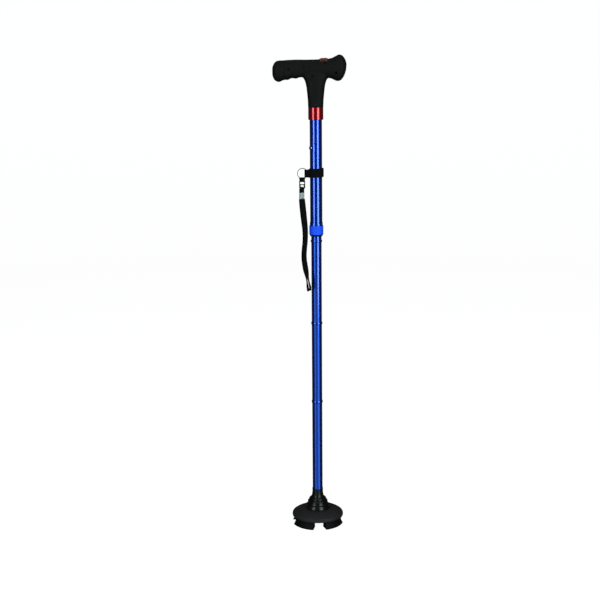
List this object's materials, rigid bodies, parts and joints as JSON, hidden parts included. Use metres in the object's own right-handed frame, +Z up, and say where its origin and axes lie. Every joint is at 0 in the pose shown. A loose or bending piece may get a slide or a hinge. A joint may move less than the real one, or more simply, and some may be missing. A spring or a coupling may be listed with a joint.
{
  "type": "walking cane",
  "caption": "Folding height-adjustable walking cane with a T handle, push-button light, wrist strap and a round pivoting foot on four rubber lobes.",
  "frame": {"origin": "centre of the foot on the floor, on the shaft's axis", "axes": "+Z up along the shaft; the long grip points along -X and the nose with the light along +X; the strap hangs on the -X side"},
  "size_m": [0.1329, 0.097, 0.8798],
  "materials": {
    "foot_rubber": "matte moulded rubber",
    "neck_rubber": "satin moulded rubber",
    "black_nylon": "matte",
    "link_plastic": "semi-gloss",
    "ball_steel": "turned",
    "screw_steel": "black zinc",
    "spring_steel": "spring steel",
    "button_steel": "polished, dark tip",
    "blue_tube": "blue anodised, glossy",
    "blue_nut": "bright blue anodised, knurled",
    "bare_aluminium": "bare drawn",
    "elastic_cord": "braided elastic",
    "red_ferrule": "red anodised, glossy",
    "grip_plastic": "soft-touch moulded",
    "clear_lens": "clear polished",
    "reflector_chrome": "vacuum plated",
    "emitter_clear": "clear epoxy",
    "circuit_board": "green solder mask",
    "switch_plastic": "matte",
    "cell_steel": "satin",
    "contact_brass": "stamped",
    "wire_red": "insulated wire",
    "red_button": "translucent dark red",
    "black_webbing": "woven hook-and-loop webbing",
    "strap_webbing": "flat woven nylon",
    "ring_steel": "nickel plated",
    "crimp_metal": "ribbed, silver"
  },
  "bodies": {
    "foot": {"foot_dome": "foot_rubber", "floor_lobes": "foot_rubber", "cup_retainer": "black_nylon", "retainer_screws": "screw_steel"},
    "swivel": {"swivel_cup_lower": "black_nylon", "swivel_cup_upper": "black_nylon"},
    "ball": {"pivot_ball": "ball_steel", "pivot_pin": "ball_steel"},
    "bottom_section": {"tip_stem": "ball_steel", "neck_boot": "neck_rubber", "bottom_tube": "blue_tube", "bottom_spigot": "bare_aluminium", "cord_plug": "black_nylon", "cord_bottom": "elastic_cord"},
    "third_section": {"third_tube": "blue_tube", "third_collar": "blue_tube", "third_spigot": "bare_aluminium", "cord_third": "elastic_cord"},
    "second_section": {"second_tube": "blue_tube", "second_collar": "blue_tube", "second_spigot": "bare_aluminium", "cord_second": "elastic_cord"},
    "inner_section": {"inner_tube": "blue_tube", "inner_collar": "blue_tube", "inner_end_plug": "black_nylon", "cord_top": "elastic_cord", "cord_anchor": "black_nylon", "spring_clip": "spring_steel"},
    "snap_button": {"snap_button": "button_steel"},
    "upper_shaft": {"upper_tube": "blue_tube", "clamp_collet": "black_nylon", "handle_ferrule": "red_ferrule", "handle_core": "black_nylon", "handle_front_shell": "grip_plastic", "handle_back_shell": "grip_plastic", "handle_screws": "screw_steel", "light_lens": "clear_lens", "light_reflector": "reflector_chrome", "light_emitter": "emitter_clear", "emitter_board": "circuit_board", "switch_board": "circuit_board", "push_switch": "switch_plastic", "button_spring": "spring_steel", "button_cells": "cell_steel", "cell_holder": "black_nylon", "cell_contacts": "contact_brass", "handle_wires": "wire_red", "strap_band": "black_webbing"},
    "palm_cap": {"palm_cap": "grip_plastic"},
    "lock_nut": {"lock_nut": "blue_nut"},
    "light_button": {"light_button": "red_button"},
    "ring_tab": {"band_tab": "black_webbing", "split_ring": "ring_steel"},
    "strap": {"ring_loop": "black_webbing", "strap_link": "link_plastic", "stitched_block": "black_webbing", "strap_crimp": "crimp_metal", "wrist_strap": "strap_webbing"}
  },
  "joints": [
    {"name": "foot_swivel", "type": "hinge", "parent": "foot", "child": "swivel", "pos_m": [0, 0, 0.024], "axis": [0, 0, 1], "continuous": true},
    {"name": "foot_tilt_sideways", "type": "hinge", "parent": "swivel", "child": "ball", "pos_m": [0, 0, 0.024], "axis": [1, 0, 0], "range_deg": [-10, 10], "stiffness_Nm_per_rad": 20},
    {"name": "foot_tilt_forward", "type": "hinge", "parent": "ball", "child": "bottom_section", "pos_m": [0, 0, 0.024], "axis": [0, 1, 0], "range_deg": [-10, 10], "stiffness_Nm_per_rad": 20},
    {"name": "lower_joint_pull", "type": "slide", "parent": "bottom_section", "child": "third_section", "axis": [0, 0, 1], "range_m": [0, 0.035], "stiffness_N_per_m": 250, "springref_m": -0.06},
    {"name": "middle_joint_pull", "type": "slide", "parent": "third_section", "child": "second_section", "axis": [0, 0, 1], "range_m": [0, 0.035], "stiffness_N_per_m": 250, "springref_m": -0.06},
    {"name": "upper_joint_pull", "type": "slide", "parent": "second_section", "child": "inner_section", "axis": [0, 0, 1], "range_m": [0, 0.035], "stiffness_N_per_m": 250, "springref_m": -0.06},
    {"name": "height_adjust", "type": "slide", "parent": "inner_section", "child": "upper_shaft", "axis": [0, 0, 1], "range_m": [0, 0.126]},
    {"name": "snap_button_press", "type": "slide", "parent": "inner_section", "child": "snap_button", "axis": [0.866, 0.5, 0], "range_m": [0, 0.0042], "stiffness_N_per_m": 1500, "springref_m": -0.002, "deforming": ["spring_clip"]},
    {"name": "lock_nut_turn", "type": "hinge", "parent": "upper_shaft", "child": "lock_nut", "pos_m": [0, 0, 0.566], "axis": [0, 0, 1], "range_deg": [0, 180]},
    {"name": "light_button_press", "type": "slide", "parent": "upper_shaft", "child": "light_button", "axis": [0, 0, -1], "range_m": [0, 0.0015], "stiffness_N_per_m": 800, "springref_m": -0.0008, "deforming": ["button_spring"]},
    {"name": "palm_cap_pull", "type": "slide", "parent": "upper_shaft", "child": "palm_cap", "axis": [-1, 0, 0], "range_m": [0, 0.02]},
    {"name": "strap_tab_swing", "type": "hinge", "parent": "upper_shaft", "child": "ring_tab", "pos_m": [-0.0149, -0.003, 0.6683], "axis": [0, 0, 1], "range_deg": [-35, 15]},
    {"name": "strap_swing", "type": "hinge", "parent": "ring_tab", "child": "strap", "pos_m": [-0.0246, -0.003, 0.659], "axis": [1, 0, 0], "range_deg": [-60, 2]}
  ]
}
